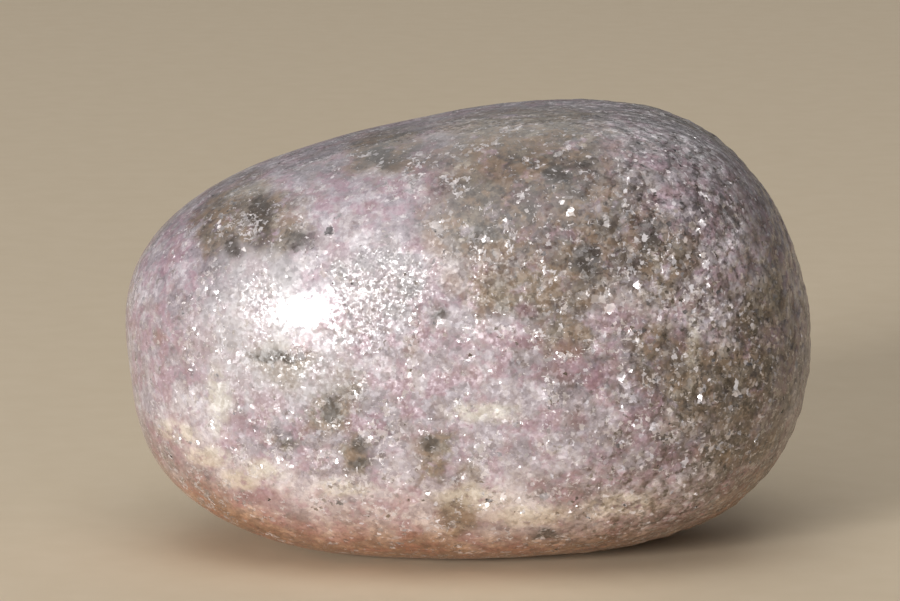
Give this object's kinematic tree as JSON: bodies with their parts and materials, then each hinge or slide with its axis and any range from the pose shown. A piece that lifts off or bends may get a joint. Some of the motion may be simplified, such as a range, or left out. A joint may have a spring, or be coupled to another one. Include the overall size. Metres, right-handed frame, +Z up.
{
  "type": "tumbled lepidolite pebble",
  "caption": "Egg-like lilac mica stone, ground smooth and polished, fuller at one end, resting on a small flat.",
  "frame": {"origin": "middle of the stone's length and depth, at the height of the surface it rests on", "axes": "+X along the stone to its blunt end, +Y away from the pictured side, +Z up"},
  "size_m": [0.04, 0.0268, 0.0256],
  "materials": {
    "lepidolite": "polished"
  },
  "bodies": {
    "root": {"pebble": "lepidolite"}
  },
  "joints": []
}
